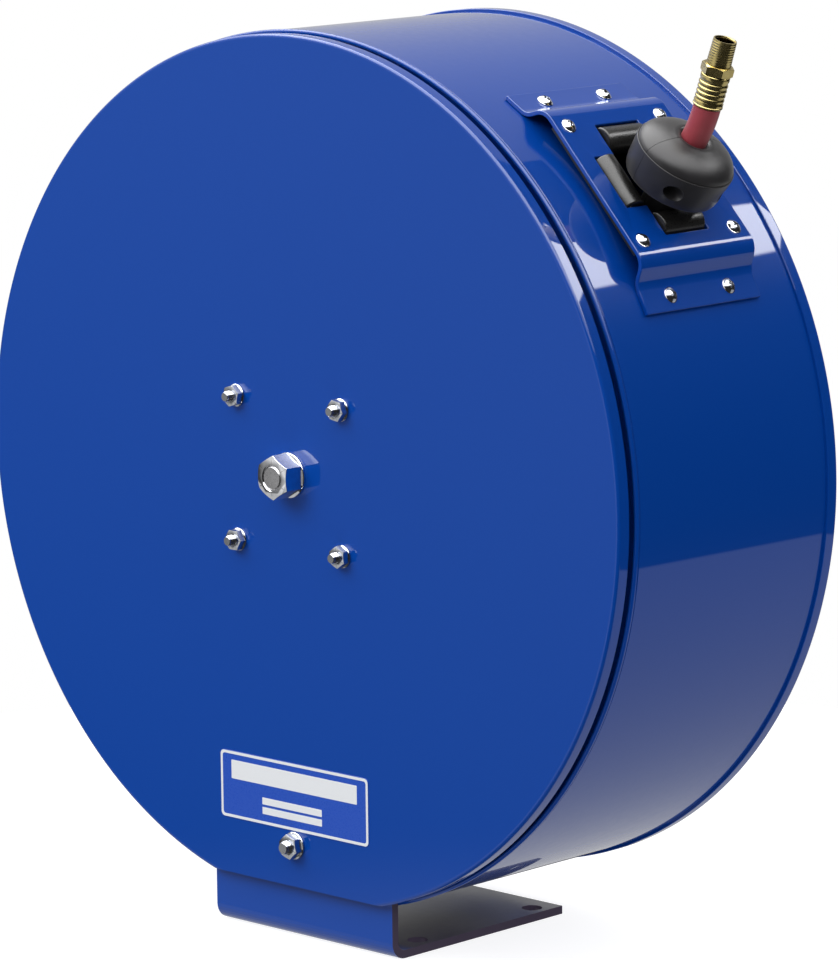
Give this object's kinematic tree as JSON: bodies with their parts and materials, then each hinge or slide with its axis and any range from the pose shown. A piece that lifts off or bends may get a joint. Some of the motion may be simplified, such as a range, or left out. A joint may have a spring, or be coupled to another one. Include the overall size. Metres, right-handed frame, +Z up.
{
  "type": "spring rewind hose reel",
  "caption": "Enclosed drum hose reel with a spring rewind, an L-shaped foot, a roller hose guide, a ball-type hose stop and a rear swivel inlet.",
  "frame": {"origin": "centre of the four-hole bolt pattern, on the underside of the foot", "axes": "+X right and -Y towards the front face with the axle nut, +Y to the swivel inlet, +Z up from the foot to the drum"},
  "size_m": [0.5018, 0.2239, 0.5247],
  "materials": {
    "blue_paint": "gloss powder coat",
    "label": "printed foil, satin",
    "zinc": "bright zinc plate",
    "steel": "machined steel",
    "spring_steel": "oiled blue-grey strip",
    "black_plastic": "satin moulded",
    "stop_rubber": "satin moulded rubber",
    "hose_rubber": "matt red hose cover",
    "seal_rubber": "nitrile, satin",
    "brass": "turned brass",
    "bronze": "oiled sintered bronze",
    "spool_paint": "gloss powder coat",
    "motor_steel": "black enamel",
    "iron": "as cast, faces machined"
  },
  "bodies": {
    "reel_frame": {"front_cover": "blue_paint", "drum_shell": "blue_paint", "rear_cover": "blue_paint", "rear_cover_screws": "zinc", "mounting_base": "blue_paint", "name_plate": "label", "axle": "steel", "axle_nut": "zinc", "cover_bolts": "zinc", "cover_nuts": "zinc", "base_bolt": "zinc", "base_nut": "zinc", "guide_bracket": "blue_paint", "roller_carrier": "black_plastic", "roller_pins": "zinc", "bracket_screws": "zinc", "carrier_screws": "zinc", "spring_arbor": "steel", "axle_ring": "zinc", "pawl_pivot": "zinc", "pawl_spring": "spring_steel"},
    "hose_tail": {"hose_end": "hose_rubber", "hose_ferrule": "brass", "hose_fitting": "brass", "hose_stop_outer_half": "stop_rubber", "hose_stop_inner_half": "stop_rubber", "hose_stop_screws": "zinc"},
    "spool": {"spool_front_disc": "spool_paint", "spool_rear_disc": "spool_paint", "spool_hub": "spool_paint", "spring_canister": "motor_steel", "spring_lid": "motor_steel", "power_spring": "spring_steel", "front_bearing": "bronze", "rear_bearing": "bronze", "bearing_flange": "iron", "ratchet_wheel": "steel", "canister_screws": "zinc", "flange_screws": "zinc", "hose_coil": "hose_rubber", "riser_tube": "steel", "swivel_rotor": "brass", "swivel_seal": "seal_rubber", "swivel_ring": "zinc"},
    "upper_roller": {"roller_upper": "black_plastic"},
    "lower_roller": {"roller_lower": "black_plastic"},
    "front_roller": {"roller_front": "black_plastic"},
    "rear_roller": {"roller_rear": "black_plastic"},
    "latch_pawl": {"pawl": "steel"},
    "inlet": {"swivel_body": "brass"}
  },
  "joints": [
    {"name": "hose_pull", "type": "slide", "parent": "reel_frame", "child": "hose_tail", "axis": [0.5779, 0, 0.8161], "range_m": [0, 0.094], "stiffness_N_per_m": 60, "springref_m": -0.4},
    {"name": "spool_spin", "type": "hinge", "parent": "reel_frame", "child": "spool", "pos_m": [0, 0, 0.271], "axis": [0, -1, 0], "range_deg": [0, 7920]},
    {"name": "upper_roller_spin", "type": "hinge", "parent": "reel_frame", "child": "upper_roller", "pos_m": [0.1666, 0.0088, 0.46367], "axis": [0, 1, 0], "continuous": true},
    {"name": "lower_roller_spin", "type": "hinge", "parent": "reel_frame", "child": "lower_roller", "pos_m": [0.20646, 0.0088, 0.42018], "axis": [0, 1, 0], "continuous": true},
    {"name": "front_roller_spin", "type": "hinge", "parent": "reel_frame", "child": "front_roller", "pos_m": [0.18653, -0.0162, 0.44192], "axis": [-0.6756, 0, 0.7373], "continuous": true},
    {"name": "rear_roller_spin", "type": "hinge", "parent": "reel_frame", "child": "rear_roller", "pos_m": [0.18653, 0.0338, 0.44192], "axis": [-0.6756, 0, 0.7373], "continuous": true},
    {"name": "pawl_swing", "type": "hinge", "parent": "reel_frame", "child": "latch_pawl", "pos_m": [0, -0.0643, 0.193], "axis": [0, -1, 0], "range_deg": [0, 14]},
    {"name": "inlet_swivel", "type": "hinge", "parent": "reel_frame", "child": "inlet", "pos_m": [0, 0.1117, 0.271], "axis": [0, 1, 0], "continuous": true}
  ],
  "couplings": [
    {"joint": "spool_spin", "follows": "hose_pull", "rad_per_m": 7.4268}
  ]
}
